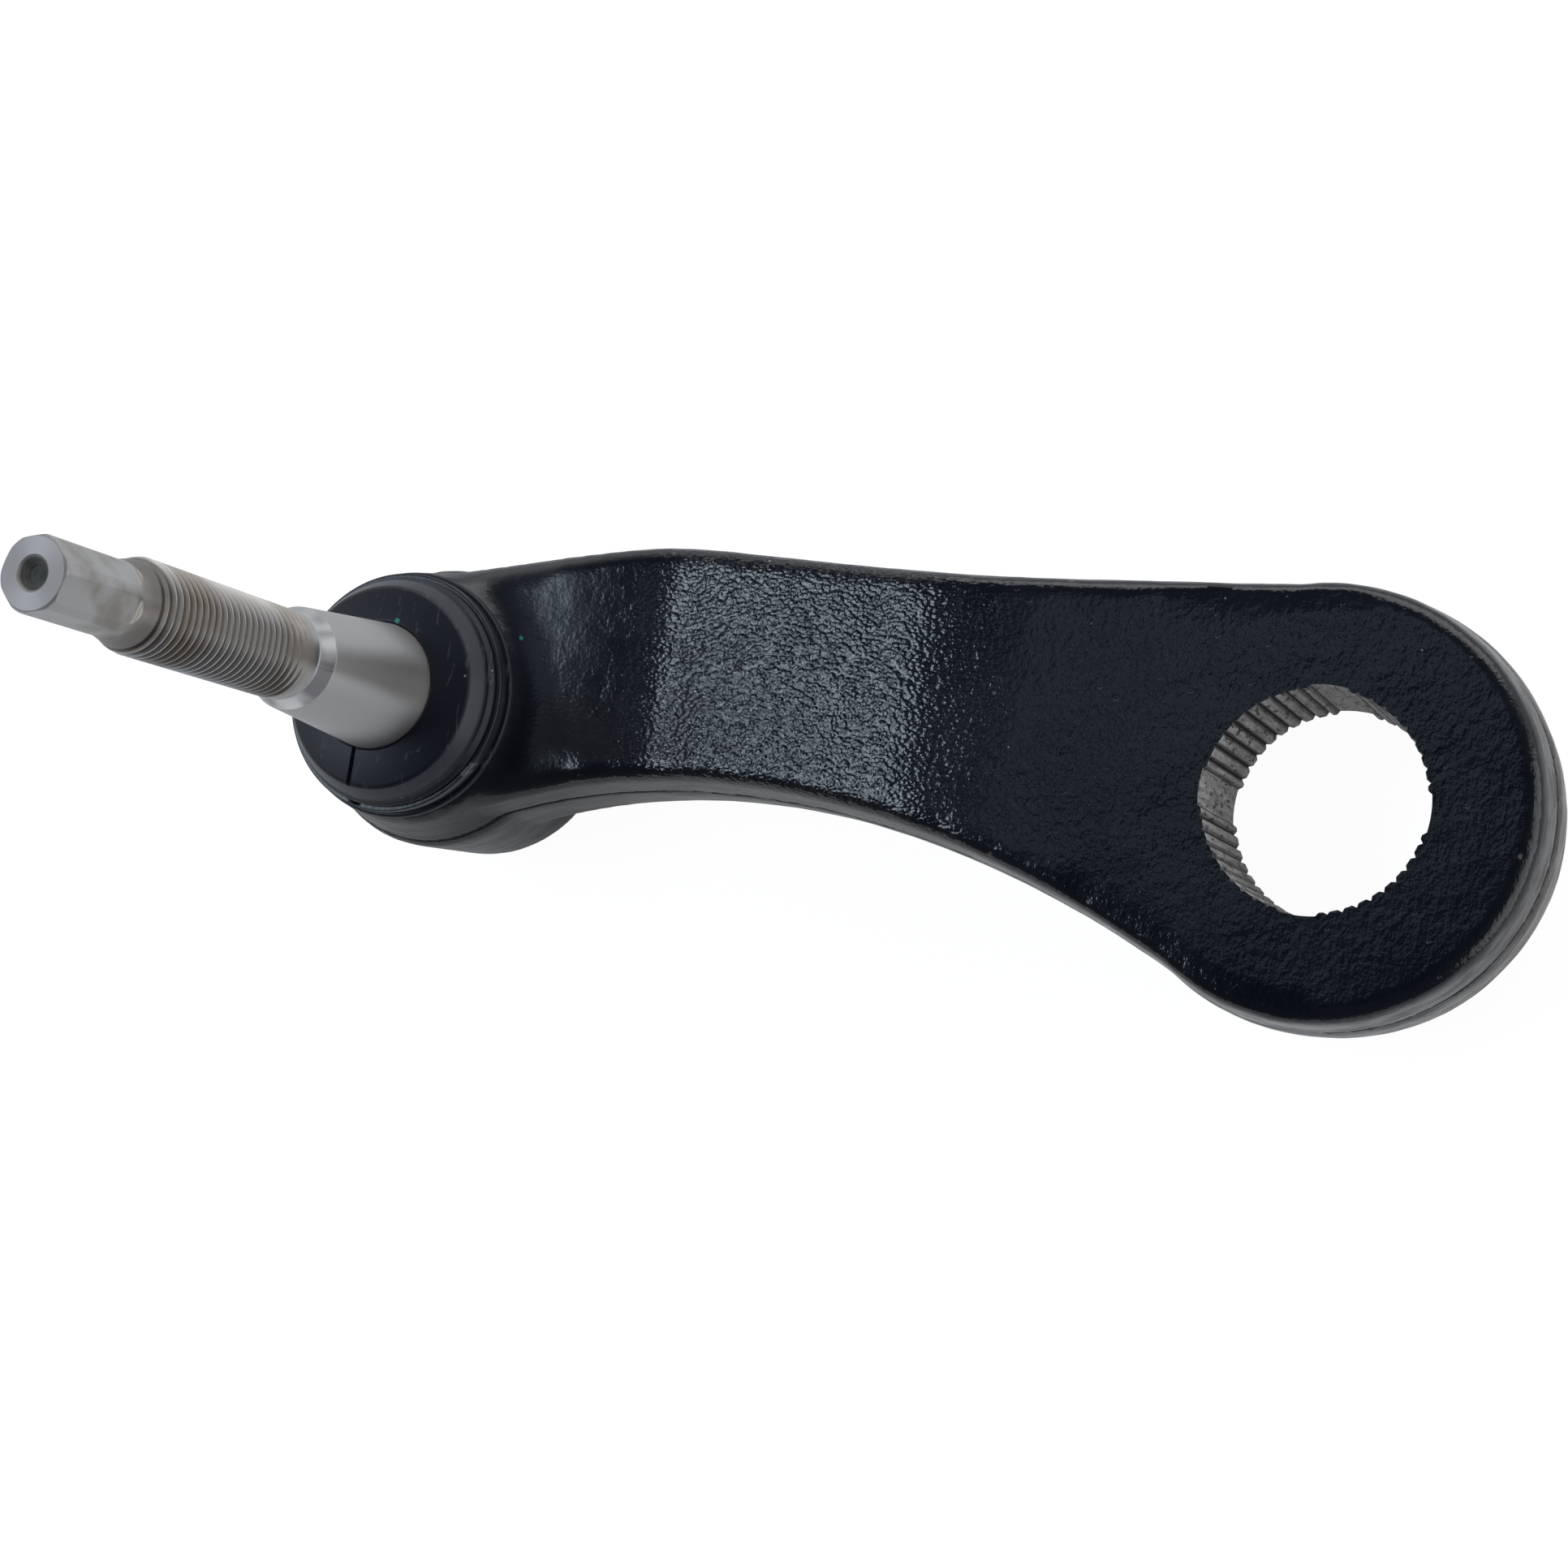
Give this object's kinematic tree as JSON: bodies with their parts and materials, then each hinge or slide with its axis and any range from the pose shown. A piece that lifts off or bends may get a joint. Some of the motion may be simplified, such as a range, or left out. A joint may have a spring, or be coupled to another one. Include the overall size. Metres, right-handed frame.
{
  "type": "pitman arm",
  "caption": "Forged steering pitman arm with a serrated eye at one end and a tapered, threaded ball stud in a booted socket at the other.",
  "frame": {"origin": "on the axis of the serrated bore, in the plane of the eye's stud-side face", "axes": "+Z along the bore's axis towards the stud's tip, -X from the bore to the stud, +Y towards the arm's long edge"},
  "size_m": [0.2073, 0.0648, 0.1278],
  "materials": {
    "forging": "gloss black paint over a forged skin",
    "stud_steel": "ground taper and rolled thread, lightly oiled",
    "bearing": "natural moulded bearing plastic",
    "spring_steel": "blued spring steel",
    "cover": "pressed steel, black paint",
    "boot": "satin moulded rubber with dust",
    "ring": "black band steel"
  },
  "bodies": {
    "arm_body": {"arm": "forging", "upper_bearing": "bearing", "lower_bearing": "bearing", "spring_washer": "spring_steel", "cover_plate": "cover", "boot_ring": "ring"},
    "boot_body": {"dust_boot": "boot"},
    "stud_body": {"ball_stud": "stud_steel"}
  },
  "joints": [
    {"name": "stud_swing", "type": "hinge", "parent": "arm_body", "child": "boot_body", "pos_m": [-0.1512, 0, -0.0165], "axis": [1, 0, 0], "range_deg": [-15, 15], "deforming": ["dust_boot"]},
    {"name": "stud_spin", "type": "hinge", "parent": "boot_body", "child": "stud_body", "pos_m": [-0.1512, 0, -0.0165], "axis": [0, 0, 1], "continuous": true}
  ]
}
